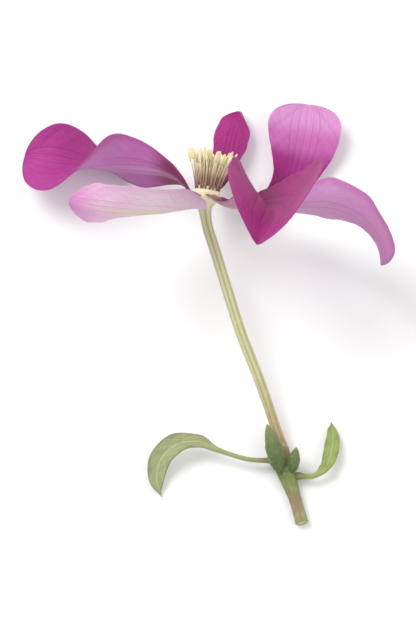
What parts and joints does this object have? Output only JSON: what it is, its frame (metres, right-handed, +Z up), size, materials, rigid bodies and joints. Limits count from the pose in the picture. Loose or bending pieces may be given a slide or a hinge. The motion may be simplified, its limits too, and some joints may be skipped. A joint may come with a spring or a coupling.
{
  "type": "clematis flower",
  "caption": "Cut clematis flower on a short bare stalk: recurved, twisted magenta tepals round a brush of cream stamens, with small leaves at the stalk's node.",
  "frame": {"origin": "on the table, at the middle of the footprint of the lying flower", "axes": "+Z up from the table, +Y from the cut end of the stalk towards the bloom, +X to the right when looking along +Y"},
  "size_m": [0.0619, 0.0748, 0.0409],
  "materials": {
    "tepal_vivid": "velvety, soft sheen",
    "tepal_lilac": "velvety, soft sheen",
    "tepal_pale": "velvety, soft sheen",
    "stalk": "satin, finely ribbed",
    "leaf": "satin",
    "stamens": "matte",
    "pistils": "matte, silky"
  },
  "bodies": {
    "root": {"stalk": "stalk", "tepal_1": "tepal_vivid", "tepal_2": "tepal_pale", "tepal_3": "tepal_vivid", "tepal_4": "tepal_vivid", "tepal_5": "tepal_vivid", "tepal_6": "tepal_lilac", "stamens": "stamens", "pistils": "pistils", "leaf_left": "leaf", "leaf_right": "leaf"}
  },
  "joints": []
}
